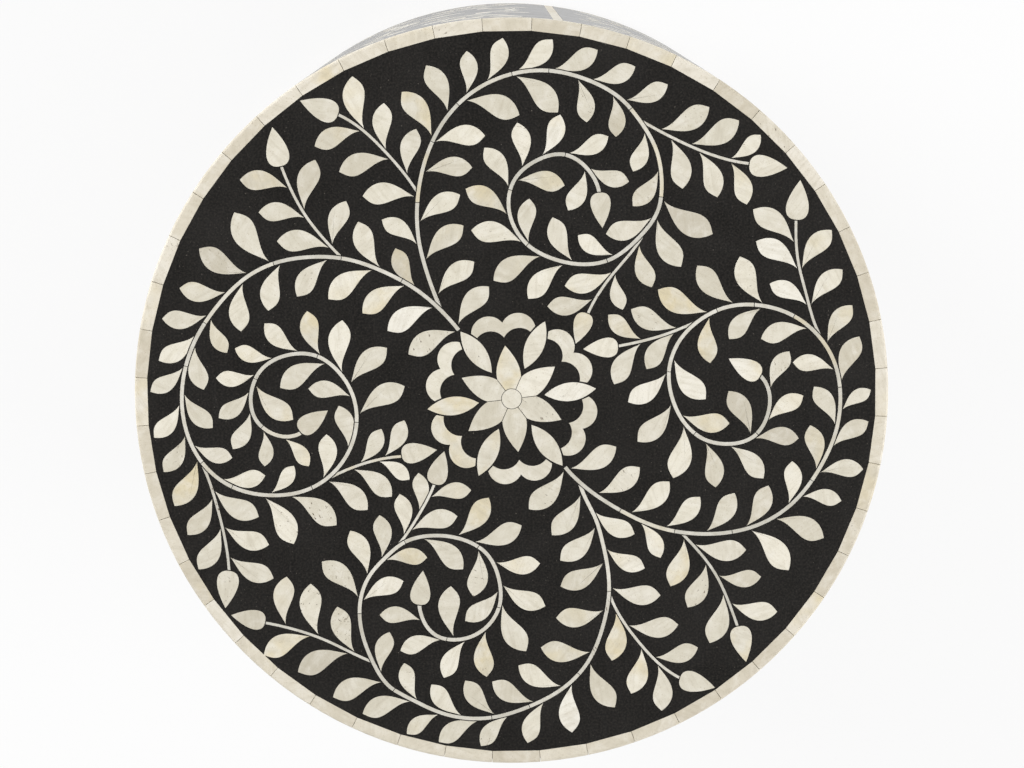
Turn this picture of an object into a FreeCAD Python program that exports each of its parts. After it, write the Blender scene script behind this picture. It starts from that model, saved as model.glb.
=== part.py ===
import FreeCAD, Part
import math
import os

os.makedirs("parts", exist_ok=True)
V = FreeCAD.Vector
ORIGIN = V(0, 0, 0)
UP = V(0, 0, 1)

# Outside of the drum
table_diameter = 450.0
table_height = 420.0
glide_height = 5.0

# Inlay layer: bone pieces set in dark resin, sanded flush
inlay_thickness = 2.5
rim_width = 7.5
rim_round = 1.6
band_height = 7.5
strip_width = 6.0
main_stem_width = 2.35
branch_width = 1.75
hairline = 0.45
joint_gap = 0.25
petal_gap = 0.2
station_step = 8.0
segment_count = 48
first_joint_angle = 4.5
strip_length_count = 4
strip_angle = 83.0
panel_count = 4

# Wooden carcass
board_thickness = 18.0
ring_thickness = 18.0
ring_width = 40.0
skin_thickness = 6.0
base_panel_thickness = 6.0
upright_width = 30.0
upright_depth = 20.0
upright_count = 8
notch_clearance = 0.2

# Screws and glides
screw_shank = 4.0
screw_head = 8.0
screw_head_depth = 2.4
screw_point = 4.0
slot_width = 1.1
slot_depth = 1.2
long_screw = 45.0
short_screw = 30.0
middle_screw = 34.0
panel_screw = 20.0
glide_screw = 20.0
glide_diameter = 30.0
glide_recess = 2.0
glide_chamfer = 1.0
glide_count = 4

# Rosette in shares of the field radius
rosette_centre_share = (0.0, -0.005)
rosette_disc_share = 0.0275
petal_shoulder_share = 0.067
petal_swell_shares = ((0.085, 0.036), (0.115, 0.025))
petal_tip_share = 0.149
lancet_shares = (0.09, 0.2335, 0.026)
scallop_outer_shares = (0.2115, 0.2385, 0.2125)
scallop_outer_angles = (24.8, 11.0, 0.0)
scallop_inner_shares = (0.1925, 0.1955, 0.1705)
scallop_inner_angles = (22.4, 10.5, 0.0)
rosette_angle = 37.0
rosette_count = 6

# Leaf and bud outlines in shares of their length, from base to tip
leaf_fore_shares = ((0.0, 0.0), (0.2, 0.06), (0.55, 0.487), (0.87, 0.245), (1.0, 0.0))
leaf_rear_shares = ((1.0, 0.0), (0.85, -0.126), (0.68, -0.36), (0.38, 0.10), (0.0, 0.0))
bud_side_shares = ((0.0, 0.0), (-0.02, 0.29), (0.25, 0.44), (0.70, 0.19), (1.0, 0.0))

# Scrolls of the top in shares of the field radius: stem points, joints of
# the stem, branch points, then buds and leaves as base and tip
left_main_shares = (
    (-0.145, 0.185), (-0.200, 0.246), (-0.260, 0.296), (-0.350, 0.346), (-0.450, 0.380),
    (-0.550, 0.386), (-0.650, 0.368), (-0.720, 0.333), (-0.800, 0.257), (-0.868, 0.153),
    (-0.904, 0.020), (-0.895, -0.090), (-0.845, -0.191), (-0.770, -0.250), (-0.660, -0.274),
    (-0.553, -0.254), (-0.468, -0.184), (-0.426, -0.070), (-0.437, 0.008), (-0.480, 0.076),
    (-0.535, 0.114), (-0.610, 0.117), (-0.682, 0.080), (-0.715, 0.008), (-0.704, -0.060),
    (-0.642, -0.107), (-0.580, -0.100))
left_joint_shares = (
    (-0.30, 0.322), (-0.465, 0.383), (-0.65, 0.368), (-0.84, 0.205), (-0.892, 0.085),
    (-0.852, -0.182), (-0.77, -0.25), (-0.55, -0.253), (-0.426, -0.07), (-0.532, 0.113),
    (-0.707, 0.052), (-0.687, -0.085))
left_branch_shares = (
    ((-0.463, 0.383), (-0.500, 0.422), (-0.565, 0.505), (-0.600, 0.570), (-0.627, 0.637)),
    ((-0.858, -0.175), (-0.835, -0.228), (-0.815, -0.295), (-0.792, -0.395), (-0.781, -0.490)),
    ((-0.515, -0.232), (-0.460, -0.205), (-0.375, -0.176), (-0.302, -0.165)))
left_bud_shares = (
    (-0.583, -0.093, -0.504, -0.037), (-0.629, 0.633, -0.649, 0.740),
    (-0.782, -0.486, -0.793, -0.592), (-0.303, -0.160, -0.205, -0.147))
left_leaf_shares = (
    (-0.146, 0.199, -0.062, 0.305), (-0.150, 0.179, -0.283, 0.118), (-0.215, 0.244, -0.340, 0.183),
    (-0.293, 0.302, -0.408, 0.231), (-0.378, 0.348, -0.501, 0.270), (-0.500, 0.378, -0.586, 0.277),
    (-0.628, 0.365, -0.665, 0.238), (-0.730, 0.315, -0.740, 0.181), (-0.822, 0.218, -0.779, 0.122),
    (-0.865, 0.143, -0.844, 0.020), (-0.897, 0.011, -0.821, -0.086), (-0.875, -0.133, -0.768, -0.169),
    (-0.795, -0.224, -0.678, -0.218), (-0.665, -0.265, -0.599, -0.191), (-0.523, -0.225, -0.509, -0.103),
    (-0.450, -0.143, -0.475, -0.024), (-0.440, 0.000, -0.558, 0.023), (-0.508, 0.093, -0.635, 0.025),
    (-0.703, 0.035, -0.600, -0.063), (-0.625, -0.115, -0.558, -0.193), (-0.688, -0.098, -0.680, -0.193),
    (-0.718, -0.040, -0.767, -0.145), (-0.720, 0.018, -0.805, -0.058), (-0.703, 0.064, -0.811, 0.053),
    (-0.650, 0.103, -0.758, 0.135), (-0.583, 0.132, -0.676, 0.204), (-0.520, 0.119, -0.559, 0.238),
    (-0.464, 0.065, -0.463, 0.213), (-0.441, 0.036, -0.341, 0.136), (-0.416, -0.050, -0.293, 0.030),
    (-0.260, 0.303, -0.317, 0.410), (-0.358, 0.353, -0.418, 0.483), (-0.659, 0.374, -0.755, 0.508),
    (-0.720, 0.344, -0.852, 0.409), (-0.778, 0.291, -0.907, 0.301), (-0.830, 0.227, -0.956, 0.217),
    (-0.863, 0.175, -0.967, 0.101), (-0.898, 0.085, -0.991, 0.015), (-0.913, -0.018, -0.983, -0.113),
    (-0.899, -0.105, -0.958, -0.209), (-0.864, -0.173, -0.930, -0.304), (-0.683, -0.283, -0.602, -0.411),
    (-0.610, -0.283, -0.483, -0.358))
left_branch_leaf_shares = (
    (-0.484, 0.420, -0.450, 0.539), (-0.495, 0.409, -0.640, 0.429), (-0.563, 0.490, -0.689, 0.508),
    (-0.560, 0.513, -0.533, 0.651), (-0.605, 0.573, -0.739, 0.596), (-0.820, -0.258, -0.697, -0.334),
    (-0.828, -0.280, -0.895, -0.385), (-0.804, -0.363, -0.866, -0.482), (-0.793, -0.360, -0.670, -0.413),
    (-0.773, -0.443, -0.658, -0.507), (-0.505, -0.240, -0.397, -0.315), (-0.435, -0.208, -0.330, -0.278),
    (-0.368, -0.180, -0.281, -0.230), (-0.420, -0.183, -0.358, -0.088), (-0.352, -0.166, -0.295, -0.064))

upper_main_shares = (
    (-0.195, 0.245), (-0.215, 0.295), (-0.238, 0.365), (-0.253, 0.430), (-0.258, 0.485),
    (-0.256, 0.545), (-0.238, 0.640), (-0.217, 0.697), (-0.150, 0.797), (-0.050, 0.866),
    (0.100, 0.892), (0.200, 0.869), (0.300, 0.812), (0.350, 0.753), (0.390, 0.683),
    (0.407, 0.600), (0.395, 0.507), (0.345, 0.438), (0.260, 0.376), (0.200, 0.366),
    (0.100, 0.386), (0.045, 0.418), (0.010, 0.462), (-0.009, 0.530), (0.010, 0.601),
    (0.065, 0.648), (0.145, 0.665), (0.205, 0.627), (0.230, 0.588), (0.238, 0.560))
upper_joint_shares = (
    (-0.257, 0.535), (-0.217, 0.70), (-0.145, 0.80), (0.0, 0.884), (0.10, 0.892),
    (0.323, 0.79), (0.407, 0.55), (0.26, 0.376), (0.043, 0.42), (-0.008, 0.57), (0.145, 0.665))
upper_branch_shares = (
    ((-0.256, 0.562), (-0.290, 0.611), (-0.350, 0.680), (-0.400, 0.728), (-0.470, 0.773)),
    ((0.348, 0.758), (0.395, 0.732), (0.480, 0.690), (0.570, 0.656), (0.645, 0.641)),
    ((0.360, 0.452), (0.315, 0.386), (0.280, 0.345), (0.250, 0.305), (0.225, 0.265), (0.208, 0.230)))
upper_bud_shares = (
    (0.239, 0.562, 0.247, 0.465), (-0.471, 0.773, -0.574, 0.811),
    (0.645, 0.637, 0.749, 0.629), (0.204, 0.232, 0.175, 0.147))
upper_leaf_shares = (
    (-0.202, 0.281, -0.102, 0.373), (-0.236, 0.376, -0.131, 0.472), (-0.252, 0.479, -0.140, 0.556),
    (-0.233, 0.615, -0.107, 0.630), (-0.203, 0.695, -0.072, 0.716), (-0.123, 0.806, 0.021, 0.772),
    (0.008, 0.873, 0.125, 0.779), (0.175, 0.868, 0.203, 0.752), (0.268, 0.821, 0.282, 0.713),
    (0.360, 0.728, 0.329, 0.619), (0.399, 0.625, 0.329, 0.525), (0.376, 0.500, 0.256, 0.449),
    (-0.258, 0.418, -0.354, 0.488), (-0.263, 0.550, -0.406, 0.552), (-0.215, 0.711, -0.298, 0.835),
    (-0.175, 0.780, -0.232, 0.906), (-0.125, 0.828, -0.122, 0.945), (-0.067, 0.860, -0.025, 0.980),
    (0.012, 0.891, 0.110, 0.976), (0.110, 0.897, 0.232, 0.948), (0.215, 0.870, 0.334, 0.903),
    (0.306, 0.813, 0.422, 0.855), (0.411, 0.543, 0.548, 0.449), (0.395, 0.494, 0.462, 0.359),
    (-0.010, 0.500, -0.126, 0.572), (0.030, 0.424, -0.111, 0.459), (0.080, 0.386, -0.050, 0.321),
    (0.143, 0.365, 0.045, 0.271), (0.018, 0.590, 0.144, 0.581), (0.049, 0.425, 0.048, 0.546),
    (0.168, 0.375, 0.111, 0.495), (0.278, 0.394, 0.180, 0.446), (-0.010, 0.575, -0.075, 0.684),
    (0.028, 0.628, 0.014, 0.752), (0.081, 0.660, 0.131, 0.774), (0.152, 0.670, 0.262, 0.715),
    (0.208, 0.630, 0.319, 0.592), (0.195, 0.622, 0.153, 0.513))
upper_branch_leaf_shares = (
    (-0.283, 0.610, -0.259, 0.735), (-0.398, 0.731, -0.431, 0.877), (-0.336, 0.678, -0.346, 0.805),
    (-0.408, 0.728, -0.535, 0.687), (-0.333, 0.650, -0.469, 0.618), (0.403, 0.739, 0.535, 0.794),
    (0.484, 0.697, 0.616, 0.758), (0.592, 0.656, 0.675, 0.719), (0.428, 0.707, 0.464, 0.572),
    (0.506, 0.675, 0.559, 0.549), (0.593, 0.648, 0.639, 0.529), (0.270, 0.352, 0.144, 0.307),
    (0.226, 0.272, 0.097, 0.251), (0.288, 0.338, 0.304, 0.241), (0.344, 0.425, 0.383, 0.303))

right_main_shares = (
    (0.147, -0.195), (0.185, -0.235), (0.225, -0.268), (0.300, -0.316), (0.400, -0.362),
    (0.500, -0.381), (0.600, -0.378), (0.680, -0.357), (0.775, -0.296), (0.850, -0.195),
    (0.893, -0.090), (0.902, 0.010), (0.885, 0.095), (0.830, 0.180), (0.770, 0.225),
    (0.675, 0.254), (0.585, 0.248), (0.520, 0.217), (0.460, 0.157), (0.431, 0.070),
    (0.443, -0.010), (0.480, -0.078), (0.535, -0.120), (0.580, -0.130), (0.665, -0.110),
    (0.703, -0.050), (0.705, 0.020), (0.681, 0.060))
right_joint_shares = (
    (0.30, -0.316), (0.45, -0.375), (0.609, -0.376), (0.827, -0.232), (0.898, 0.027),
    (0.772, 0.224), (0.663, 0.255), (0.56, 0.242), (0.430, 0.07), (0.503, -0.102), (0.677, -0.104))
right_branch_shares = (
    ((0.860, 0.145), (0.832, 0.195), (0.803, 0.290), (0.783, 0.365), (0.774, 0.450), (0.774, 0.490)),
    ((0.468, -0.378), (0.503, -0.415), (0.560, -0.488), (0.600, -0.570), (0.628, -0.646)),
    ((0.515, 0.212), (0.475, 0.195), (0.425, 0.175), (0.365, 0.157), (0.291, 0.141)))
right_bud_shares = (
    (0.682, 0.059, 0.594, 0.107), (0.774, 0.488, 0.784, 0.597),
    (0.631, -0.643, 0.652, -0.745), (0.291, 0.139, 0.195, 0.133))
right_leaf_shares = (
    (0.160, -0.197, 0.288, -0.138), (0.238, -0.265, 0.353, -0.195), (0.145, -0.203, 0.047, -0.313),
    (0.328, -0.320, 0.435, -0.235), (0.424, -0.360, 0.520, -0.278), (0.535, -0.373, 0.615, -0.267),
    (0.645, -0.363, 0.708, -0.246), (0.761, -0.299, 0.772, -0.178), (0.835, -0.203, 0.820, -0.078),
    (0.886, -0.079, 0.829, 0.029), (0.880, 0.073, 0.770, 0.096), (0.809, 0.186, 0.682, 0.161),
    (0.685, 0.248, 0.595, 0.160), (0.545, 0.219, 0.544, 0.094), (0.452, 0.105, 0.533, -0.006),
    (0.468, -0.048, 0.599, -0.073), (0.655, -0.103, 0.595, 0.017), (0.688, 0.260, 0.622, 0.388),
    (0.608, 0.261, 0.506, 0.363), (0.538, 0.236, 0.399, 0.297), (0.424, 0.069, 0.319, -0.014),
    (0.438, -0.018, 0.346, -0.124), (0.467, -0.080, 0.445, -0.226), (0.529, -0.129, 0.562, -0.252),
    (0.599, -0.138, 0.694, -0.227), (0.668, -0.120, 0.790, -0.115), (0.702, -0.068, 0.801, 0.004),
    (0.710, 0.022, 0.761, 0.127), (0.865, 0.145, 0.931, 0.254), (0.905, 0.040, 0.952, 0.168),
    (0.910, -0.038, 0.986, 0.020), (0.883, -0.140, 0.981, -0.068), (0.848, -0.213, 0.969, -0.201),
    (0.800, -0.279, 0.910, -0.290), (0.728, -0.344, 0.863, -0.394), (0.661, -0.378, 0.767, -0.485),
    (0.355, -0.348, 0.412, -0.450))
right_branch_leaf_shares = (
    (0.769, 0.423, 0.656, 0.516), (0.773, 0.349, 0.665, 0.429), (0.800, 0.250, 0.704, 0.313),
    (0.791, 0.351, 0.872, 0.460), (0.820, 0.253, 0.903, 0.352), (0.505, -0.409, 0.649, -0.427),
    (0.573, -0.498, 0.691, -0.503), (0.609, -0.576, 0.737, -0.602), (0.473, -0.395, 0.440, -0.530),
    (0.536, -0.465, 0.488, -0.590), (0.582, -0.550, 0.550, -0.691), (0.455, 0.193, 0.326, 0.243),
    (0.358, 0.158, 0.264, 0.228), (0.450, 0.176, 0.370, 0.077), (0.358, 0.143, 0.281, 0.035))

lower_main_shares = (
    (0.188, -0.240), (0.205, -0.285), (0.232, -0.340), (0.250, -0.400), (0.263, -0.460),
    (0.270, -0.545), (0.253, -0.645), (0.215, -0.740), (0.150, -0.814), (0.050, -0.871),
    (-0.050, -0.902), (-0.100, -0.906), (-0.200, -0.888), (-0.290, -0.845), (-0.335, -0.818),
    (-0.385, -0.745), (-0.418, -0.645), (-0.418, -0.565), (-0.393, -0.500), (-0.345, -0.445),
    (-0.295, -0.405), (-0.220, -0.387), (-0.135, -0.398), (-0.070, -0.437), (-0.035, -0.510),
    (-0.035, -0.590), (-0.075, -0.650), (-0.150, -0.681), (-0.215, -0.665), (-0.250, -0.612),
    (-0.256, -0.580))
lower_joint_shares = (
    (0.27, -0.545), (0.188, -0.78), (0.05, -0.871), (-0.055, -0.903), (-0.327, -0.824),
    (-0.42, -0.607), (-0.295, -0.405), (-0.093, -0.42), (-0.035, -0.59), (-0.18, -0.681))
lower_branch_shares = (
    ((0.270, -0.548), (0.290, -0.595), (0.360, -0.696), (0.400, -0.740), (0.470, -0.791)),
    ((-0.385, -0.745), (-0.430, -0.725), (-0.515, -0.683), (-0.605, -0.651), (-0.683, -0.633)),
    ((-0.330, -0.432), (-0.295, -0.390), (-0.255, -0.327), (-0.225, -0.271), (-0.213, -0.242)))
lower_bud_shares = (
    (-0.256, -0.582, -0.245, -0.485), (0.468, -0.792, 0.567, -0.818),
    (-0.683, -0.630, -0.778, -0.611), (-0.212, -0.243, -0.185, -0.150))
lower_leaf_shares = (
    (0.228, -0.318, 0.340, -0.383), (0.258, -0.423, 0.369, -0.479), (0.273, -0.533, 0.413, -0.555),
    (0.219, -0.745, 0.288, -0.874), (0.170, -0.805, 0.169, -0.946), (0.093, -0.860, 0.045, -0.976),
    (-0.005, -0.903, -0.085, -0.985), (-0.088, -0.913, -0.203, -0.973), (-0.200, -0.893, -0.292, -0.950),
    (-0.280, -0.860, -0.415, -0.892), (-0.358, -0.802, -0.497, -0.845), (0.191, -0.268, 0.111, -0.386),
    (0.232, -0.360, 0.134, -0.457), (0.254, -0.460, 0.135, -0.530), (0.255, -0.595, 0.123, -0.619),
    (0.218, -0.713, 0.081, -0.703), (0.140, -0.812, 0.019, -0.754), (0.065, -0.858, -0.054, -0.800),
    (-0.044, -0.894, -0.129, -0.797), (-0.136, -0.894, -0.223, -0.808), (-0.258, -0.849, -0.298, -0.747),
    (-0.356, -0.773, -0.338, -0.659), (-0.410, -0.573, -0.299, -0.515), (-0.348, -0.459, -0.233, -0.449),
    (-0.245, -0.398, -0.134, -0.482), (-0.094, -0.425, -0.106, -0.559), (-0.036, -0.540, -0.129, -0.628),
    (-0.159, -0.674, -0.168, -0.529), (-0.425, -0.563, -0.525, -0.460), (-0.398, -0.500, -0.446, -0.373),
    (-0.360, -0.453, -0.365, -0.329), (-0.150, -0.386, -0.063, -0.280), (-0.105, -0.404, 0.028, -0.358),
    (-0.046, -0.460, 0.079, -0.465), (-0.024, -0.523, 0.094, -0.586), (-0.025, -0.578, 0.041, -0.714),
    (-0.069, -0.655, -0.069, -0.787), (-0.126, -0.684, -0.188, -0.790), (-0.193, -0.683, -0.309, -0.713),
    (-0.251, -0.628, -0.366, -0.611))
lower_branch_leaf_shares = (
    (0.323, -0.638, 0.463, -0.638), (0.398, -0.728, 0.518, -0.703), (0.288, -0.600, 0.279, -0.741),
    (0.354, -0.708, 0.333, -0.835), (0.402, -0.753, 0.418, -0.884), (-0.624, -0.638, -0.622, -0.502),
    (-0.533, -0.668, -0.556, -0.522), (-0.430, -0.713, -0.483, -0.587), (-0.555, -0.670, -0.688, -0.725),
    (-0.451, -0.722, -0.594, -0.773), (-0.298, -0.388, -0.309, -0.270), (-0.253, -0.323, -0.257, -0.211),
    (-0.273, -0.378, -0.149, -0.333), (-0.220, -0.283, -0.111, -0.260))

# Side panels in shares of their half width and half height: corner spray,
# upright sprig and level sprig about a rosette
spray_main_shares = ((0.215, 0.188), (0.36, 0.245), (0.52, 0.35), (0.63, 0.52), (0.70, 0.68), (0.80, 0.80))
spray_joint_shares = ((0.52, 0.35), (0.70, 0.68))
spray_branch_shares = (
    ((0.52, 0.35), (0.475, 0.47), (0.41, 0.60), (0.33, 0.71), (0.23, 0.79), (0.13, 0.83)),
    ((0.56, 0.395), (0.66, 0.40), (0.76, 0.36), (0.84, 0.28), (0.87, 0.19), (0.865, 0.11)))
spray_bud_shares = ((0.80, 0.80, 0.90, 0.91), (0.13, 0.83, 0.035, 0.85), (0.865, 0.11, 0.855, 0.02))
spray_leaf_shares = (
    (0.30, 0.218, 0.47, 0.165), (0.39, 0.262, 0.37, 0.415), (0.47, 0.310, 0.65, 0.300),
    (0.60, 0.460, 0.78, 0.490), (0.645, 0.555, 0.545, 0.690), (0.675, 0.625, 0.85, 0.635),
    (0.70, 0.685, 0.62, 0.835), (0.755, 0.755, 0.70, 0.900))
spray_branch_leaf_shares = (
    (0.465, 0.490, 0.33, 0.520), (0.40, 0.615, 0.255, 0.615), (0.30, 0.738, 0.15, 0.710),
    (0.415, 0.590, 0.475, 0.730), (0.335, 0.705, 0.40, 0.850), (0.235, 0.788, 0.285, 0.925),
    (0.79, 0.338, 0.93, 0.365), (0.725, 0.378, 0.765, 0.240), (0.86, 0.230, 0.775, 0.135))
upright_sprig_shares = ((0, 0.27), (0, 0.41), (0, 0.56))
upright_bud_shares = ((0, 0.56, 0, 0.70),)
upright_leaf_shares = (
    (0.005, 0.325, 0.14, 0.445), (-0.005, 0.325, -0.14, 0.445),
    (0.005, 0.435, 0.13, 0.560), (-0.005, 0.435, -0.13, 0.560))
level_sprig_shares = ((0.305, 0), (0.42, 0), (0.53, 0))
level_bud_shares = ((0.53, 0, 0.69, 0),)
level_leaf_shares = ((0.37, 0.005, 0.51, 0.105), (0.37, -0.005, 0.51, -0.105))
panel_rosette_count = 8
edge_point_count = 5

# Derived sizes
radius = table_diameter / 2
field_radius = radius - rim_width
core_radius = radius - inlay_thickness
skin_inner = core_radius - skin_thickness
ring_inner = skin_inner - ring_width
ring_middle = (skin_inner + ring_inner) / 2
deck = table_height - inlay_thickness
board_low = deck - board_thickness
upper_ring_low = board_low - ring_thickness
base_ring_low = glide_height + base_panel_thickness
base_ring_high = base_ring_low + ring_thickness
middle_ring_low = (base_ring_high + upper_ring_low - ring_thickness) / 2
upright_face = math.sqrt(skin_inner ** 2 - (upright_width / 2) ** 2)
upright_middle = upright_face - upright_depth / 2
panel_low = glide_height + band_height
panel_high = deck - band_height
panel_middle = (panel_low + panel_high) / 2
half_strip = math.degrees(strip_width / 2 / radius)
panel_half = 180.0 / panel_count - half_strip
segment_angle = 360.0 / segment_count
joint_half = math.degrees(joint_gap / 2 / radius)
upright_first = 180.0 / upright_count


def at(distance, angle, z=0):
    turn = math.radians(angle)
    return V(distance * math.cos(turn), distance * math.sin(turn), z)


def turned(shape, angle):
    copy = shape.copy()
    copy.rotate(ORIGIN, UP, angle)
    return copy


def around(shape, count, first=0):
    return [turned(shape, first + 360.0 * k / count) for k in range(count)]


def save(name, shapes):
    shape = shapes[0] if len(shapes) == 1 else Part.makeCompound(shapes)
    shape.exportStep("parts/" + name + ".step")


def disc(distance, low, high):
    return Part.makeCylinder(distance, high - low, V(0, 0, low))


def ring(inner, outer, low, high):
    return disc(outer, low, high).cut(disc(inner, low, high))


def outline(edges):
    return Part.Face(Part.Wire(edges))


def line(start, end):
    return Part.makeLine(start, end)


def arc(start, middle, end):
    return Part.Arc(start, middle, end).toShape()


def bezier(points):
    curve = Part.BezierCurve()
    curve.setPoles(points)
    return curve.toShape()


def spline(points):
    curve = Part.BSplineCurve()
    curve.interpolate(Points=points)
    return curve


def sector(inner, outer, first, last, low, high):
    middle = (first + last) / 2
    plan = outline([
        arc(at(outer, first, low), at(outer, middle, low), at(outer, last, low)),
        line(at(outer, last, low), at(inner, last, low)),
        arc(at(inner, last, low), at(inner, middle, low), at(inner, first, low)),
        line(at(inner, first, low), at(outer, first, low))])
    return plan.extrude(V(0, 0, high - low))


# Flat pattern pieces


def mapping(angle, across, upward, centre_share=(0, 0)):
    turn = math.radians(angle)

    def place(share):
        x = share[0] * math.cos(turn) - share[1] * math.sin(turn) + centre_share[0]
        y = share[0] * math.sin(turn) + share[1] * math.cos(turn) + centre_share[1]
        return V(x * across, y * upward, 0)
    return place


def along(base, tip, side, shares):
    axis = tip - base
    normal = V(-axis.y, axis.x, 0) * side
    return [base + axis * share[0] + normal * share[1] for share in shares]


def leaf(base, tip, side):
    return outline([bezier(along(base, tip, side, leaf_fore_shares)),
                    bezier(along(base, tip, side, leaf_rear_shares))])


def bud(base, tip, margin=0):
    heel = base + (base - tip).normalize() * margin
    return outline([bezier(along(heel, tip, 1, bud_side_shares)),
                    bezier(along(heel, tip, -1, bud_side_shares)[::-1])])


def ribbon(curve, first, last, width):
    sides = ([], [])
    count = max(4, round(curve.length(first, last) / station_step))
    for k in range(count + 1):
        spot = first + (last - first) * k / count
        ahead = curve.tangent(spot)[0]
        offset = V(-ahead.y, ahead.x, 0) * (width / 2)
        sides[0].append(curve.value(spot) + offset)
        sides[1].append(curve.value(spot) - offset)
    return outline([spline(sides[0]).toShape(), line(sides[0][-1], sides[1][-1]),
                    spline(sides[1]).toShape(), line(sides[1][0], sides[0][0])])


def lengths(curve, joints, width):
    cuts = sorted(curve.parameter(joint) for joint in joints)
    starts = [curve.FirstParameter] + [curve.parameterAtDistance(joint_gap / 2, cut) for cut in cuts]
    ends = [curve.parameterAtDistance(-joint_gap / 2, cut) for cut in cuts] + [curve.LastParameter]
    return [ribbon(curve, first, last, width) for first, last in zip(starts, ends)]


def trimmed(face, masks, sliver=0):
    near = [mask for mask in masks
            if mask.BoundBox.intersect(face.BoundBox) and face.common(mask).Area > sliver]
    if near:
        face = max(face.cut(near).Faces, key=lambda piece: piece.Area)
    return face


def nearest(curve, point):
    spots = (curve.parameter(point), curve.FirstParameter, curve.LastParameter)
    return min(spots, key=lambda spot: curve.value(spot).distanceToPoint(point))


def grow(scroll, place, roots, clearance=0):
    main, joints, branches, buds, leaves = scroll
    stem = spline([place(share) for share in main])
    twigs = [spline([place(share) for share in branch]) for branch in branches]
    curves = [stem] + twigs
    widths = [main_stem_width] + [branch_width] * len(twigs)
    masks = [ribbon(curve, curve.FirstParameter, curve.LastParameter, width + 2 * hairline)
             for curve, width in zip(curves, widths)]
    ends = [(place(share[:2]), place(share[2:])) for share in buds]
    bud_masks = [bud(base, tip, hairline) for base, tip in ends]
    stems = [trimmed(piece, roots + bud_masks)
             for piece in lengths(stem, [place(joint) for joint in joints], main_stem_width)]
    for twig in twigs:
        piece = ribbon(twig, twig.FirstParameter, twig.LastParameter, branch_width)
        stems.append(trimmed(piece, masks[:1] + bud_masks))
    leaf_faces = []
    for share in leaves:
        foot, tip = place(share[:2]), place(share[2:])
        curve, width = min(zip(curves, widths),
                           key=lambda pair: pair[0].value(nearest(pair[0], foot)).distanceToPoint(foot))
        spot = nearest(curve, foot)
        middle, ahead = curve.value(spot), curve.tangent(spot)[0]
        side = 1 if (tip - middle).cross(ahead).z > 0 else -1
        base = middle + V(ahead.y, -ahead.x, 0) * (side * (width / 2 + clearance))
        leaf_faces.append(trimmed(leaf(base, tip, side), masks + roots, clearance * hairline))
    return stems, [bud(base, tip) for base, tip in ends], leaf_faces, masks


def rosette(place, count, angle):
    half = 180.0 / count
    narrowing = rosette_count / count

    def polar(share, off):
        turn = math.radians(angle + off)
        return place((share * math.cos(turn), share * math.sin(turn)))

    rim = [polar(rosette_disc_share, 90.0 * k) for k in range(4)]
    disc_face = outline([arc(rim[0], rim[1], rim[2]), arc(rim[2], rim[3], rim[0])])
    gap_share = petal_gap / 2 / field_radius
    petals, lancets = [], []
    for k in range(count):
        middle = 2 * half * k
        foot_share = rosette_disc_share + 2 * gap_share
        slip = math.degrees(gap_share / foot_share)
        slip_out = math.degrees(gap_share / petal_shoulder_share)
        sides = []
        for side in (1, -1):
            inner = polar(foot_share, middle + side * (half - slip))
            shoulder = polar(petal_shoulder_share, middle + side * (half - slip_out))
            swell = [polar(math.hypot(u, v), middle + side * narrowing * math.degrees(math.atan2(v, u)))
                     for u, v in petal_swell_shares]
            sides.append((inner, shoulder, [shoulder] + swell + [polar(petal_tip_share, middle)]))
        petals.append(outline([
            line(sides[0][0], sides[0][1]), bezier(sides[0][2]), bezier(sides[1][2][::-1]),
            line(sides[1][1], sides[1][0]),
            arc(sides[1][0], polar(foot_share, middle), sides[0][0])]))
        near_share, far_share, width_share = lancet_shares
        middle_share = (near_share + far_share) / 2
        belly = narrowing * math.degrees(math.atan2(2 * width_share, middle_share))
        spread_share = math.hypot(middle_share, 2 * width_share)
        valley = middle + half
        near, far = polar(near_share, valley), polar(far_share, valley)
        lancets.append(outline([
            bezier([near, polar(spread_share, valley + belly), far]),
            bezier([far, polar(spread_share, valley - belly), near])]))
    return disc_face, petals, lancets


def scallops(place, count, angle):
    faces = []
    for k in range(count):
        middle = angle + 360.0 * k / count

        def edge(shares, offsets, side):
            turns = [math.radians(middle + side * offset) for offset in offsets]
            return [place((share * math.cos(turn), share * math.sin(turn)))
                    for share, turn in zip(shares, turns)]

        outer = edge(scallop_outer_shares, scallop_outer_angles, 1)
        outer_far = edge(scallop_outer_shares, scallop_outer_angles, -1)
        inner = edge(scallop_inner_shares, scallop_inner_angles, 1)
        inner_far = edge(scallop_inner_shares, scallop_inner_angles, -1)
        faces.append(outline([
            arc(*outer), arc(*outer_far[::-1]), line(outer_far[0], inner_far[0]),
            arc(*inner_far), arc(*inner[::-1]), line(inner[0], outer[0])]))
    return faces


def raised(faces):
    lift = V(0, 0, deck)
    solids = []
    for face in faces:
        solid = face.extrude(V(0, 0, inlay_thickness))
        solid.translate(lift)
        solids.append(solid)
    return solids


# Top inlay
top = mapping(0, field_radius, field_radius)
disc_face, petals, lancets = rosette(
    mapping(0, field_radius, field_radius, rosette_centre_share), rosette_count, rosette_angle)
scallop_faces = scallops(
    mapping(0, field_radius, field_radius, rosette_centre_share), rosette_count, rosette_angle)
inlay = [disc_face] + petals + lancets + scallop_faces
save("rosette_disc", raised([disc_face]))
save("rosette_petals", raised(petals))
save("rosette_lancets", raised(lancets))
save("rosette_scallops", raised(scallop_faces))

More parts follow.
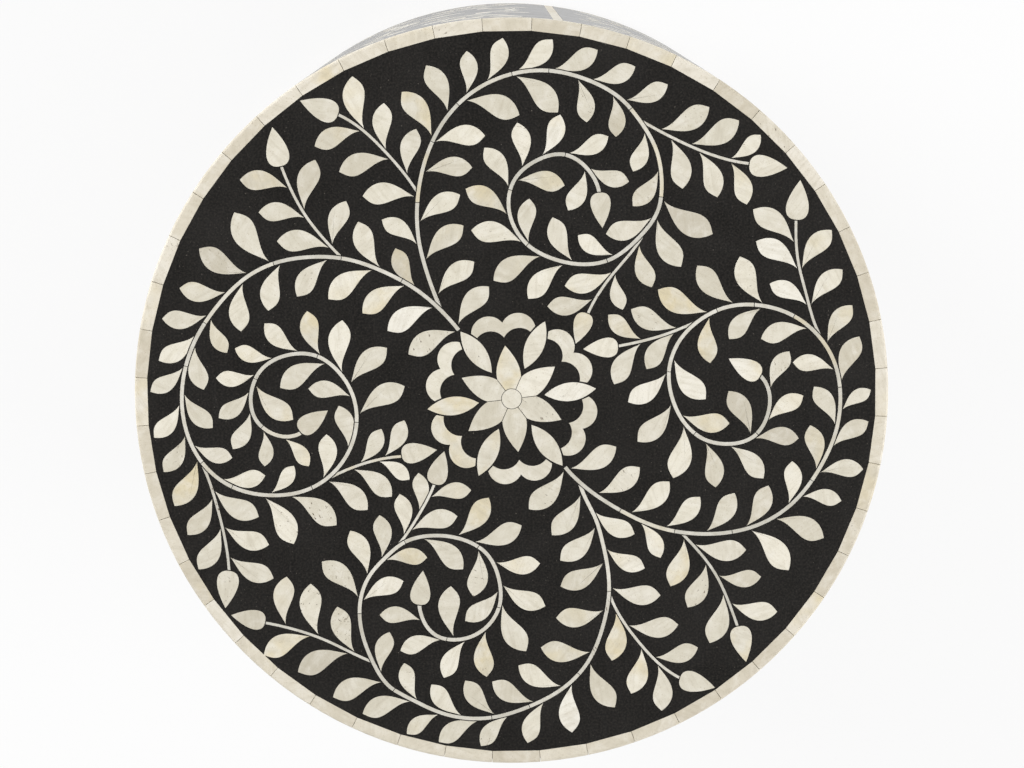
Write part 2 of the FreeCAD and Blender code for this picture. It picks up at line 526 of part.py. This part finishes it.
left_scroll = (left_main_shares, left_joint_shares, left_branch_shares, left_bud_shares,
               left_leaf_shares + left_branch_leaf_shares)
upper_scroll = (upper_main_shares, upper_joint_shares, upper_branch_shares, upper_bud_shares,
                upper_leaf_shares + upper_branch_leaf_shares)
right_scroll = (right_main_shares, right_joint_shares, right_branch_shares, right_bud_shares,
                right_leaf_shares + right_branch_leaf_shares)
lower_scroll = (lower_main_shares, lower_joint_shares, lower_branch_shares, lower_bud_shares,
                lower_leaf_shares + lower_branch_leaf_shares)
left_pair = (("left", left_scroll), ("upper", upper_scroll))
right_pair = (("right", right_scroll), ("lower", lower_scroll))
for pair in (left_pair, right_pair):
    roots = []
    for name, scroll in pair:
        stems, buds, leaves, masks = grow(scroll, top, roots)
        roots = masks[:1]
        inlay = inlay + stems + buds + leaves
        save(name + "_scroll_stems", raised(stems))
        save(name + "_scroll_buds", raised(buds))
        save(name + "_scroll_leaves", raised(leaves))

corners = [at(field_radius, first_joint_angle + segment_angle * k) for k in range(segment_count)]
field_wire = Part.makePolygon(corners + corners[:1])
field = Part.Face(field_wire).cut(inlay).Faces[0]
save("top_resin", raised([field]))

rim_ring = disc(radius, deck, table_height)
rim_ring = rim_ring.makeFillet(rim_round, [edge for edge in rim_ring.Edges
                                           if edge.Closed and edge.BoundBox.ZMin > deck])
start, end = first_joint_angle + joint_half, first_joint_angle + segment_angle - joint_half
reach = radius + rim_width
inner_start, inner_end = at(field_radius, start), at(field_radius, end)
plan = Part.Face(Part.makePolygon([inner_start, at(reach, start), at(reach, end), inner_end, inner_start]))
wedge = plan.extrude(V(0, 0, inlay_thickness))
wedge.translate(V(0, 0, deck))
save("top_rim", around(rim_ring.common(wedge), segment_count))

# Side inlay
across = radius * math.radians(panel_half)
upward = (panel_high - panel_low) / 2
shell = sector(core_radius, radius, 90 - panel_half, 90 + panel_half, panel_low, panel_high)


def bent(face):
    edges = []
    for edge in face.OuterWire.OrderedEdges:
        marks = edge.discretize(edge_point_count)
        if edge.Orientation == "Reversed":
            marks = marks[::-1]
        marks = [V(-radius * math.sin(mark.x / radius), 0, mark.y + panel_middle) for mark in marks]
        edges.append(spline(marks).toShape())
    return outline(edges).extrude(V(0, radius + inlay_thickness, 0))


disc_face, petals, lancets = rosette(
    mapping(0, field_radius, field_radius), panel_rosette_count, 180.0 / panel_rosette_count)
panel_rosette = [bent(face) for face in [disc_face] + petals + lancets]
panel_stems, panel_buds, panel_leaves = [], [], []
spray = (spray_main_shares, spray_joint_shares, spray_branch_shares, spray_bud_shares,
         spray_leaf_shares + spray_branch_leaf_shares)
upright_sprig = (upright_sprig_shares, (), (), upright_bud_shares, upright_leaf_shares)
level_sprig = (level_sprig_shares, (), (), level_bud_shares, level_leaf_shares)
for sprig, right, top_side in ((spray, 1, 1), (spray, -1, 1), (spray, -1, -1), (spray, 1, -1),
                               (upright_sprig, 1, 1), (upright_sprig, 1, -1),
                               (level_sprig, 1, 1), (level_sprig, -1, 1)):
    stems, buds, leaves, masks = grow(sprig, mapping(0, right * across, top_side * upward), [], hairline)
    panel_stems = panel_stems + [bent(face) for face in stems]
    panel_buds = panel_buds + [bent(face) for face in buds]
    panel_leaves = panel_leaves + [bent(face) for face in leaves]
panel_resin = shell.cut(panel_rosette + panel_stems + panel_buds + panel_leaves)
panel_first = strip_angle + 180.0 / panel_count - 90.0
for name, prisms in (("rosettes", panel_rosette), ("stems", panel_stems),
                     ("buds", panel_buds), ("leaves", panel_leaves)):
    pieces = [shell.common(prism).Solids[0] for prism in prisms]
    save("side_" + name, [copy for piece in pieces for copy in around(piece, panel_count, panel_first)])
for k, panel in enumerate(around(panel_resin.Solids[0], panel_count, panel_first)):
    save("side_resin_%d" % (k + 1), [panel])

strips = []
strip_step = (panel_high - panel_low) / strip_length_count
for k in range(strip_length_count):
    low = panel_low + strip_step * k
    piece = sector(core_radius, radius, strip_angle - half_strip, strip_angle + half_strip,
                   low, low + strip_step - joint_gap)
    strips = strips + around(piece, panel_count)
save("side_strips", strips)
for name, low in (("side_lower_band", glide_height), ("side_upper_band", panel_high)):
    piece = sector(core_radius, radius, start, end, low, low + band_height)
    save(name, around(piece, segment_count))


# Screws, drawn with the head at the origin and the point upward
def screw_body(length):
    profile = Part.makePolygon([
        ORIGIN, V(screw_head / 2, 0, 0), V(screw_shank / 2, 0, screw_head_depth),
        V(screw_shank / 2, 0, length - screw_point), V(0, 0, length), ORIGIN])
    return Part.Face(profile).revolve(ORIGIN, UP, 360)


def slotted(body):
    for side in (slot_width, screw_shank):
        other = slot_width + screw_shank - side
        body = body.cut(Part.makeBox(side, other, slot_depth, V(-side / 2, -other / 2, 0)))
    return body


def driven(length, distance, z, tilt, count, first):
    bodies, screws = [], []
    for shape, group in ((screw_body(length), bodies), (slotted(screw_body(length)), screws)):
        shape.rotate(ORIGIN, V(0, 1, 0), tilt)
        shape.translate(V(distance, 0, z))
        group.extend(around(shape, count, first))
    return bodies, screws


top_holes, top_screws = driven(short_screw, ring_middle, upper_ring_low, 0, upright_count, 0)
upper_holes, upper_screws = driven(long_screw, upright_middle, board_low, 180, upright_count, upright_first)
base_holes, base_screws = driven(long_screw, upright_middle, base_ring_low, 0, upright_count, upright_first)
middle_holes, middle_screws = driven(
    middle_screw, upright_face, middle_ring_low + ring_thickness / 2, -90, upright_count, upright_first)
panel_holes, panel_screws = driven(panel_screw, ring_middle, glide_height, 0, glide_count, 0)
glide_first = 180.0 / glide_count
glide_holes, glide_screws = driven(glide_screw, ring_middle, glide_recess, 0, glide_count, glide_first)
save("top_screws", top_screws)
save("upper_ring_screws", upper_screws)
save("base_ring_screws", base_screws)
save("middle_ring_screws", middle_screws)
save("base_panel_screws", panel_screws)
save("glide_screws", glide_screws)

# Carcass
save("top_board", [disc(core_radius, board_low, deck).cut(top_holes)])
save("upper_ring", [ring(ring_inner, skin_inner, upper_ring_low, board_low).cut(top_holes + upper_holes)])
save("base_ring", [ring(ring_inner, skin_inner, base_ring_low, base_ring_high).cut(
    base_holes + panel_holes + glide_holes)])
notch = Part.makeBox(ring_width, upright_width + 2 * notch_clearance, ring_thickness,
                     V(upright_face - upright_depth - notch_clearance,
                       -upright_width / 2 - notch_clearance, middle_ring_low))
middle_ring = ring(ring_inner, skin_inner, middle_ring_low, middle_ring_low + ring_thickness)
save("middle_ring", [middle_ring.cut(around(notch, upright_count, upright_first) + middle_holes)])
post = Part.makeBox(upright_depth, upright_width, upper_ring_low - base_ring_high,
                    V(upright_face - upright_depth, -upright_width / 2, base_ring_high))
for k, upright in enumerate(around(post, upright_count, upright_first)):
    save("upright_%d" % (k + 1), [upright.cut([upper_holes[k], base_holes[k], middle_holes[k]])])
save("skin_right", [sector(skin_inner, core_radius, -90, 90, glide_height, board_low)])
save("skin_left", [sector(skin_inner, core_radius, 90, 270, glide_height, board_low)])
save("base_panel", [disc(skin_inner, glide_height, base_ring_low).cut(panel_holes + glide_holes)])

# Glides
pad = disc(glide_diameter / 2, 0, glide_height)
pad = pad.makeChamfer(glide_chamfer, [edge for edge in pad.Edges
                                      if edge.Closed and edge.BoundBox.ZMax < glide_chamfer])
pad = pad.cut(disc(screw_head / 2, 0, glide_recess))
pad.translate(V(ring_middle, 0, 0))
for k, glide in enumerate(around(pad, glide_count, glide_first)):
    save("glide_%d" % (k + 1), [glide.cut(glide_holes[k])])
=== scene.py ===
import math

import bmesh
import bpy
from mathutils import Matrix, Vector


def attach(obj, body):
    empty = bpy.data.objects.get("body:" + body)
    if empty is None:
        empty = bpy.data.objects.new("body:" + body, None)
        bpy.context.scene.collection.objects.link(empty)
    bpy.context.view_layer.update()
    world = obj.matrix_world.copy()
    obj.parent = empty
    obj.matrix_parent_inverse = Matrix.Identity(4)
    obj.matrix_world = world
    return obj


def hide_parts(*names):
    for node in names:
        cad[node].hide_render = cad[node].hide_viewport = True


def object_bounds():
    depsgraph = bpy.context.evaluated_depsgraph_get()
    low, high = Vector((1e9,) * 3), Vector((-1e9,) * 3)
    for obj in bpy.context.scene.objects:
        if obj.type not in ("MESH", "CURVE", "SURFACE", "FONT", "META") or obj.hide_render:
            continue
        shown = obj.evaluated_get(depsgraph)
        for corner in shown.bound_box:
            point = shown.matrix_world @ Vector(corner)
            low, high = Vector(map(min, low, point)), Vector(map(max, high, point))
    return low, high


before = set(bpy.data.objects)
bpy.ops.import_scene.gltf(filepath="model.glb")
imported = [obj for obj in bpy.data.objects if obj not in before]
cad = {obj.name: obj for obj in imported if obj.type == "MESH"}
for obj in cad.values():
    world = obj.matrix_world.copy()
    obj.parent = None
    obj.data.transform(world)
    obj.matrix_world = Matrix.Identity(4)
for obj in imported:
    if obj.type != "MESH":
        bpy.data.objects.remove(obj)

cad_box = [list(corner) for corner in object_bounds()]

# Sizes, in metres
merge_reach = 1e-6
flat_angle = math.radians(0.4)
crease_angle = math.radians(35)
eased_edge = 0.00014
eased_angle = math.radians(50)
floor_reach = 9.0
floor_drop = 0.0002
camera_place = (-0.0065, 0.2696, 2.225)
camera_lean = (math.radians(-8.25), math.radians(-0.21), 0.0)
camera_lens = 107.5
camera_sensor = 36.0
window_place = (-2.2, 1.3, 1.9)
fill_place = (2.3, -0.6, 1.8)
lamp_size = 1.6

# Light: lamp powers in watts, shades of the floor and the studio, heights on the sky from 0 to 1
window_power = 54.0
fill_power = 41.0
floor_shade = (0.93, 0.93, 0.93, 1.0)
floor_glow_share = 0.85
white = (1.0, 1.0, 1.0, 1.0)
black = (0.0, 0.0, 0.0, 1.0)
ceiling_shade = (0.14, 0.14, 0.14, 1.0)
wall_top = 0.45
ceiling_start = 0.8

# First seed of the random tones of each kind of bone
leaf_seed = 0
stem_seed = 40
edging_seed = 60

# Pieces by finish
leaf_nodes = ["rosette_disc", "rosette_petals", "rosette_lancets", "rosette_scallops", "side_rosettes"]
leaf_nodes += ["side_leaves", "side_buds"]
scrolls = ("left", "upper", "right", "lower")
leaf_nodes += [f"{side}_scroll_{kind}" for side in scrolls for kind in ("leaves", "buds")]
stem_nodes = ["side_stems"] + [f"{side}_scroll_stems" for side in scrolls]
edging_nodes = ["top_rim", "side_strips", "side_upper_band", "side_lower_band"]
panel_nodes = sorted(name for name in cad if name.startswith("side_resin"))


def colour(red, green, blue):
    """A screen colour in 0 to 255 as a linear colour."""
    def linear(level):
        share = level / 255
        if share <= 0.04045:
            return share / 12.92
        return ((share + 0.055) / 1.055) ** 2.4
    return (linear(red), linear(green), linear(blue), 1.0)


def add(tree, kind, inputs=None, **settings):
    """A node in the tree, with its settings and its inputs linked or set."""
    made = tree.nodes.new(kind)
    for key, value in settings.items():
        setattr(made, key, value)
    for key, value in (inputs or {}).items():
        if isinstance(value, bpy.types.NodeSocket):
            tree.links.new(value, made.inputs[key])
        else:
            made.inputs[key].default_value = value
    return made


def ramp(tree, level, stops):
    """A colour ramp over a level, from (place, colour) stops."""
    made = add(tree, "ShaderNodeValToRGB", {"Fac": level})
    points = made.color_ramp.elements
    while len(points) < len(stops):
        points.new(1.0)
    for point, (place, shade) in zip(points, stops):
        point.position = place
        point.color = shade
    return made.outputs["Color"]


def stretch(tree, level, low, high, to_low=0.0, to_high=1.0):
    """A level moved from one range to another and held inside it."""
    made = add(tree, "ShaderNodeMapRange", {"Value": level, "From Min": low, "From Max": high,
                                            "To Min": to_low, "To Max": to_high})
    return made.outputs["Result"]


def product(tree, one, other):
    """Two levels multiplied."""
    return add(tree, "ShaderNodeMath", {0: one, 1: other}, operation="MULTIPLY").outputs[0]


def blended(tree, share, under, over):
    """One colour over another by a share."""
    made = add(tree, "ShaderNodeMix", data_type="RGBA")
    for key, kind, value in (("Factor", "VALUE", share), ("A", "RGBA", under), ("B", "RGBA", over)):
        socket = next(s for s in made.inputs if s.name == key and s.type == kind)
        if isinstance(value, bpy.types.NodeSocket):
            tree.links.new(value, socket)
        else:
            socket.default_value = value
    return next(s for s in made.outputs if s.type == "RGBA")


def noise(tree, place, scale, detail=3.0, roughness=0.55, distortion=0.0):
    """A noise level at a place, its scale in waves to the metre."""
    made = add(tree, "ShaderNodeTexNoise", {"Vector": place, "Scale": scale, "Detail": detail,
                                            "Roughness": roughness, "Distortion": distortion})
    return made.outputs["Fac"]


def new_finish(name):
    """A material, its tree and its shader."""
    finish = bpy.data.materials.new(name)
    finish.use_nodes = True
    tree = finish.node_tree
    shader = tree.nodes["Principled BSDF"]
    return finish, tree, shader


def object_place(tree):
    """The place on the object, in metres."""
    return add(tree, "ShaderNodeTexCoord").outputs["Object"]


def bump(tree, shader, height, strength, depth):
    """A fine relief on the shader, its depth in metres."""
    made = add(tree, "ShaderNodeBump", {"Height": height, "Strength": strength, "Distance": depth})
    tree.links.new(made.outputs["Normal"], shader.inputs["Normal"])


def bone_finish(name, tones, fibre, pore_share):
    """Polished bone: each piece its own tone, soft clouds, fine fibres, pores and a few warm stains."""
    finish, tree, shader = new_finish(name)
    draw = add(tree, "ShaderNodeAttribute", attribute_name="piece_draw", attribute_type="GEOMETRY")
    turn = add(tree, "ShaderNodeAttribute", attribute_name="piece_turn", attribute_type="GEOMETRY")
    draws = add(tree, "ShaderNodeSeparateXYZ", {"Vector": draw.outputs["Vector"]})
    tone, poring, staining = draws.outputs[0], draws.outputs[1], draws.outputs[2]
    shifted = add(tree, "ShaderNodeVectorMath", {0: object_place(tree), 1: draw.outputs["Vector"]},
                  operation="ADD").outputs[0]
    turned = add(tree, "ShaderNodeVectorRotate", {"Vector": shifted, "Angle": turn.outputs["Fac"]},
                 rotation_type="Z_AXIS")
    place = turned.outputs[0]
    drawn_out = add(tree, "ShaderNodeMapping", {"Vector": place, "Scale": fibre}).outputs[0]
    base = ramp(tree, tone, tones)
    patch = noise(tree, place, 70, 2, 0.5)
    stain = product(tree, stretch(tree, patch, 0.4, 0.62), stretch(tree, staining, 0.78, 1.0, 0.0, 0.75))
    base = blended(tree, stain, base, colour(226, 211, 172))
    clouds = noise(tree, place, 120, 4, 0.6, 0.4)
    base = blended(tree, stretch(tree, clouds, 0.5, 0.7, 0.0, 0.26), base, colour(188, 180, 158))
    base = blended(tree, stretch(tree, clouds, 0.5, 0.3, 0.0, 0.4), base, colour(249, 245, 235))
    fibres = noise(tree, drawn_out, 420, 3, 0.6)
    base = blended(tree, stretch(tree, fibres, 0.46, 0.72, 0.0, 0.3), base, colour(184, 174, 152))
    grains = noise(tree, place, 1300, 1, 0.5)
    base = blended(tree, stretch(tree, grains, 0.6, 0.8, 0.0, 0.42), base, colour(172, 156, 126))
    oval = add(tree, "ShaderNodeMapping", {"Vector": place, "Scale": (1, 0.5, 1)}).outputs[0]
    pores = noise(tree, oval, 700, 2, 0.6)
    open_pores = product(tree, stretch(tree, pores, 0.65, 0.71), stretch(tree, poring, 1 - pore_share, 1.0))
    base = blended(tree, open_pores, base, colour(96, 78, 58))
    tree.links.new(base, shader.inputs["Base Color"])
    tree.links.new(stretch(tree, clouds, 0.3, 0.7, 0.32, 0.46), shader.inputs["Roughness"])
    shader.inputs["Specular IOR Level"].default_value = 0.45
    relief = blended(tree, open_pores, fibres, black)
    bump(tree, shader, relief, 0.12, 0.00015)
    return finish


def resin_finish(name):
    """Dark filled resin under clear lacquer: clouds, pale bone dust and rubbing marks."""
    finish, tree, shader = new_finish(name)
    place = object_place(tree)
    clouds = noise(tree, place, 26, 5, 0.6, 0.3)
    base = ramp(tree, clouds, [(0.3, colour(13, 12, 10)), (0.7, colour(23, 21, 19))])
    mottle = noise(tree, place, 800, 3, 0.7)
    base = blended(tree, stretch(tree, mottle, 0.42, 0.7, 0.0, 0.75), base, colour(52, 48, 44))
    dust = noise(tree, place, 900, 1, 0.4)
    gather = stretch(tree, noise(tree, place, 60, 2), 0.4, 0.65, 0.25, 1.0)
    dusting = product(tree, stretch(tree, dust, 0.73, 0.79, 0.0, 0.5), gather)
    base = blended(tree, dusting, base, colour(158, 150, 138))
    tree.links.new(base, shader.inputs["Base Color"])
    rubbing = add(tree, "ShaderNodeMapping", {"Vector": place, "Rotation": (0, 0, 0.5),
                                              "Scale": (1, 0.06, 1)}).outputs[0]
    marks = noise(tree, rubbing, 700, 3, 0.7)
    dull = add(tree, "ShaderNodeMath", {0: stretch(tree, clouds, 0.3, 0.7, 0.34, 0.44),
                                        1: stretch(tree, marks, 0.45, 0.75, 0.0, 0.12)}, operation="ADD")
    tree.links.new(dull.outputs[0], shader.inputs["Roughness"])
    shader.inputs["Specular IOR Level"].default_value = 0.35
    shader.inputs["Coat Weight"].default_value = 0.5
    shader.inputs["Coat Roughness"].default_value = 0.14
    bump(tree, shader, mottle, 0.06, 0.0002)
    return finish


def timber_finish(name, pale, dark, direction, ring_scale):
    """Sawn timber with growth bands, pores drawn out along the grain and a dull surface."""
    finish, tree, shader = new_finish(name)
    along = add(tree, "ShaderNodeMapping", {"Vector": object_place(tree), "Scale": direction}).outputs[0]
    bands = add(tree, "ShaderNodeTexWave", {"Vector": along, "Scale": ring_scale, "Distortion": 3.0,
                                            "Detail": 4.0, "Detail Scale": 1.6,
                                            "Detail Roughness": 0.6}).outputs["Fac"]
    figure = noise(tree, along, 160, 6, 0.65)
    base = ramp(tree, bands, [(0.1, pale), (0.9, dark)])
    base = blended(tree, stretch(tree, figure, 0.42, 0.72, 0.0, 0.5), base, dark)
    pores = noise(tree, along, 900, 2, 0.5)
    base = blended(tree, stretch(tree, pores, 0.62, 0.72, 0.0, 0.6), base, colour(92, 66, 42))
    tree.links.new(base, shader.inputs["Base Color"])
    tree.links.new(stretch(tree, figure, 0.3, 0.7, 0.55, 0.75), shader.inputs["Roughness"])
    bump(tree, shader, figure, 0.2, 0.0003)
    return finish


def steel_finish(name):
    """Plated screw steel with turning marks and a little tarnish."""
    finish, tree, shader = new_finish(name)
    place = object_place(tree)
    tarnish = noise(tree, place, 260, 4, 0.6)
    base = ramp(tree, tarnish, [(0.3, colour(168, 166, 160)), (0.75, colour(206, 204, 200))])
    tree.links.new(base, shader.inputs["Base Color"])
    squeezed = add(tree, "ShaderNodeMapping", {"Vector": place, "Scale": (1, 1, 9)}).outputs[0]
    marks = noise(tree, squeezed, 1400, 2, 0.6)
    tree.links.new(stretch(tree, marks, 0.3, 0.7, 0.24, 0.42), shader.inputs["Roughness"])
    shader.inputs["Metallic"].default_value = 1.0
    bump(tree, shader, marks, 0.08, 0.0001)
    return finish


def nylon_finish(name):
    """Moulded nylon with a fine spark texture and scuffed patches."""
    finish, tree, shader = new_finish(name)
    place = object_place(tree)
    scuffs = noise(tree, place, 180, 5, 0.65)
    base = ramp(tree, scuffs, [(0.35, colour(36, 35, 34)), (0.75, colour(58, 56, 54))])
    tree.links.new(base, shader.inputs["Base Color"])
    tree.links.new(stretch(tree, scuffs, 0.3, 0.7, 0.45, 0.65), shader.inputs["Roughness"])
    bump(tree, shader, noise(tree, place, 2600, 2, 0.5), 0.15, 0.0001)
    return finish


leaf_tones = [(0.0, colour(207, 200, 183)), (0.06, colour(217, 210, 192)), (0.3, colour(223, 217, 200)),
              (0.55, colour(228, 222, 206)), (0.8, colour(235, 229, 212)), (0.95, colour(241, 235, 219)),
              (1.0, colour(246, 242, 231))]
stem_tones = [(0.0, colour(204, 201, 190)), (0.5, colour(215, 211, 200)), (1.0, colour(227, 223, 211))]
edging_tones = [(0.0, colour(215, 206, 187)), (0.5, colour(226, 218, 200)), (1.0, colour(236, 229, 214))]
leaf_bone = bone_finish("leaf_bone", leaf_tones, (1.0, 0.12, 1.0), 0.22)
stem_bone = bone_finish("stem_bone", stem_tones, (1.0, 0.3, 1.0), 0.12)
edging_bone = bone_finish("edging_bone", edging_tones, (1.0, 0.15, 1.0), 0.15)
dark_resin = resin_finish("dark_resin")
frame_timber = timber_finish("frame_timber", colour(206, 172, 128), colour(172, 132, 88),
                             (1.0, 0.25, 1.0), 26.0)
thin_ply = timber_finish("thin_ply", colour(218, 190, 150), colour(198, 166, 124),
                         (0.05, 1.0, 1.0), 18.0)
screw_steel = steel_finish("screw_steel")
glide_nylon = nylon_finish("glide_nylon")


def piece_tones():
    """Gives each loose bone piece of a mesh its own random draws and grain turn, and its finish."""
    tree = bpy.data.node_groups.new("piece_tones", "GeometryNodeTree")
    face = tree.interface
    face.new_socket("Pieces", in_out="INPUT", socket_type="NodeSocketGeometry")
    seed = face.new_socket("Tone Seed", in_out="INPUT", socket_type="NodeSocketInt")
    bone = face.new_socket("Bone", in_out="INPUT", socket_type="NodeSocketMaterial")
    face.new_socket("Pieces", in_out="OUTPUT", socket_type="NodeSocketGeometry")
    start = add(tree, "NodeGroupInput")
    island = add(tree, "GeometryNodeInputMeshIsland").outputs["Island Index"]
    tones = add(tree, "FunctionNodeRandomValue", data_type="FLOAT_VECTOR")
    turn = add(tree, "FunctionNodeRandomValue", data_type="FLOAT")
    for draw in (tones, turn):
        tree.links.new(island, draw.inputs["ID"])
        tree.links.new(start.outputs["Tone Seed"], draw.inputs["Seed"])
    turn_high = [s for s in turn.inputs if s.name == "Max" and s.type == "VALUE"][0]
    turn_high.default_value = math.tau
    drawn = [s for s in tones.outputs if s.type == "VECTOR"][0]
    angle = [s for s in turn.outputs if s.type == "VALUE"][0]
    first = add(tree, "GeometryNodeStoreNamedAttribute", data_type="FLOAT_VECTOR", domain="POINT")
    second = add(tree, "GeometryNodeStoreNamedAttribute", data_type="FLOAT", domain="POINT")
    first.inputs["Name"].default_value = "piece_draw"
    second.inputs["Name"].default_value = "piece_turn"
    tree.links.new(start.outputs["Pieces"], first.inputs["Geometry"])
    tree.links.new(drawn, first.inputs["Value"])
    tree.links.new(first.outputs["Geometry"], second.inputs["Geometry"])
    tree.links.new(angle, second.inputs["Value"])
    real = add(tree, "GeometryNodeRealizeInstances", {"Geometry": second.outputs["Geometry"]})
    dressed = add(tree, "GeometryNodeSetMaterial", {"Geometry": real.outputs["Geometry"],
                                                    "Material": start.outputs["Bone"]})
    end = add(tree, "NodeGroupOutput")
    tree.links.new(dressed.outputs["Geometry"], end.inputs["Pieces"])
    return tree, seed.identifier, bone.identifier


tone_tree, seed_input, bone_input = piece_tones()


def merged_copy(node, name):
    """A joined-up copy of a CAD node, with flat faces made whole."""
    mesh = cad[node].data.copy()
    mesh.name = name
    mesh.materials.clear()
    work = bmesh.new()
    work.from_mesh(mesh)
    bmesh.ops.remove_doubles(work, verts=work.verts, dist=merge_reach)
    bmesh.ops.dissolve_limit(work, angle_limit=flat_angle, verts=work.verts, edges=work.edges)
    work.to_mesh(mesh)
    work.free()
    if "custom_normal" in mesh.attributes:
        mesh.attributes.remove(mesh.attributes["custom_normal"])
    mesh.shade_smooth()
    mesh.set_sharp_from_angle(angle=crease_angle)
    piece = bpy.data.objects.new(name, mesh)
    bpy.context.scene.collection.objects.link(piece)
    return piece


def settled(piece):
    """The piece with its modifiers worked into a plain mesh."""
    graph = bpy.context.evaluated_depsgraph_get()
    mesh = bpy.data.meshes.new_from_object(piece.evaluated_get(graph), depsgraph=graph)
    piece.modifiers.clear()
    piece.data = mesh
    return piece


def set_in(piece, node):
    """Puts a finished piece in its node's place."""
    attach(piece, "root")
    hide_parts(node)


def inlay(node, bone, seed):
    """A bone node as eased pieces, each with its own tone."""
    piece = merged_copy(node, f"{node}_inlay")
    eased = piece.modifiers.new("eased_edges", "BEVEL")
    eased.width = eased_edge
    eased.segments = 1
    eased.limit_method = "ANGLE"
    eased.angle_limit = eased_angle
    eased.use_clamp_overlap = False
    eased.harden_normals = True
    toned = piece.modifiers.new("piece_tones", "NODES")
    toned.node_group = tone_tree
    toned[seed_input] = seed
    toned[bone_input] = bone
    set_in(settled(piece), node)


def paint(names, finish):
    """Gives carried-over nodes their finish."""
    for name in names:
        cad[name].data.materials.clear()
        cad[name].data.materials.append(finish)


for seed, node in enumerate(leaf_nodes, leaf_seed):
    inlay(node, leaf_bone, seed)
for seed, node in enumerate(stem_nodes, stem_seed):
    inlay(node, stem_bone, seed)
for seed, node in enumerate(edging_nodes, edging_seed):
    inlay(node, edging_bone, seed)

for node in panel_nodes:
    panel = merged_copy(node, f"{node}_panel")
    panel.data.materials.append(dark_resin)
    set_in(panel, node)

paint(["top_resin"], dark_resin)
paint(["top_board", "upper_ring", "middle_ring", "base_ring"], frame_timber)
paint([name for name in cad if name.startswith("upright_")], frame_timber)
paint(["skin_left", "skin_right", "base_panel"], thin_ply)
paint([name for name in cad if name.endswith("_screws")], screw_steel)
paint([name for name in cad if name.startswith("glide_") and not name.endswith("_screws")], glide_nylon)


def pale_floor():
    """A plain pale floor under the table, white to the eye, that keeps the shadow."""
    mesh = bpy.data.meshes.new("floor")
    corners = [(-floor_reach, -floor_reach), (floor_reach, -floor_reach), (floor_reach, floor_reach),
               (-floor_reach, floor_reach)]
    mesh.from_pydata([(x, y, -floor_drop) for x, y in corners], [], [(0, 1, 2, 3)])
    floor = bpy.data.objects.new("floor", mesh)
    bpy.context.scene.collection.objects.link(floor)
    finish = bpy.data.materials.new("floor_white")
    finish.use_nodes = True
    tree = finish.node_tree
    tree.nodes.clear()
    matt = add(tree, "ShaderNodeBsdfDiffuse", {"Color": floor_shade})
    glow = add(tree, "ShaderNodeEmission", {"Color": white, "Strength": 1.0})
    path = add(tree, "ShaderNodeLightPath")
    seen = add(tree, "ShaderNodeMath", {0: path.outputs["Is Camera Ray"], 1: path.outputs["Is Glossy Ray"]},
               operation="MAXIMUM")
    seen = add(tree, "ShaderNodeMath", {0: seen.outputs[0], 1: path.outputs["Is Transmission Ray"]},
               operation="MAXIMUM")
    share = product(tree, seen.outputs[0], floor_glow_share)
    both = add(tree, "ShaderNodeMixShader", {0: share, 1: matt.outputs[0], 2: glow.outputs[0]})
    end = add(tree, "ShaderNodeOutputMaterial")
    tree.links.new(both.outputs[0], end.inputs["Surface"])
    mesh.materials.append(finish)


def studio_sky():
    """A white studio wall all round, with a dimmer ceiling."""
    world = bpy.data.worlds.new("studio")
    bpy.context.scene.world = world
    world.use_nodes = True
    tree = world.node_tree
    tree.nodes.clear()
    way = add(tree, "ShaderNodeTexCoord").outputs["Generated"]
    height = add(tree, "ShaderNodeSeparateXYZ", {"Vector": way}).outputs[2]
    shade = ramp(tree, height, [(0.0, white), (wall_top, white), (ceiling_start, ceiling_shade)])
    sky = add(tree, "ShaderNodeBackground", {"Color": shade, "Strength": 1.0})
    end = add(tree, "ShaderNodeOutputWorld")
    tree.links.new(sky.outputs[0], end.inputs["Surface"])


def soft_lamp(name, place, power):
    """A square soft lamp turned to the table's top."""
    light = bpy.data.lights.new(name, "AREA")
    light.shape = "SQUARE"
    light.size = lamp_size
    light.energy = power
    lamp = bpy.data.objects.new(name, light)
    bpy.context.scene.collection.objects.link(lamp)
    lamp.location = place
    aim = Vector((0.0, 0.0, cad_box[1][2])) - Vector(place)
    lamp.rotation_mode = "QUATERNION"
    lamp.rotation_quaternion = aim.to_track_quat("-Z", "Y")


def photo_camera():
    """The camera almost straight above the top."""
    lens = bpy.data.cameras.new("camera")
    lens.lens = camera_lens
    lens.sensor_width = camera_sensor
    camera = bpy.data.objects.new("camera", lens)
    bpy.context.scene.collection.objects.link(camera)
    camera.location = camera_place
    camera.rotation_mode = "ZYX"
    camera.rotation_euler = camera_lean
    bpy.context.scene.camera = camera


pale_floor()
studio_sky()
soft_lamp("window_lamp", window_place, window_power)
soft_lamp("fill_lamp", fill_place, fill_power)
photo_camera()
bpy.context.scene.view_settings.view_transform = "Standard"
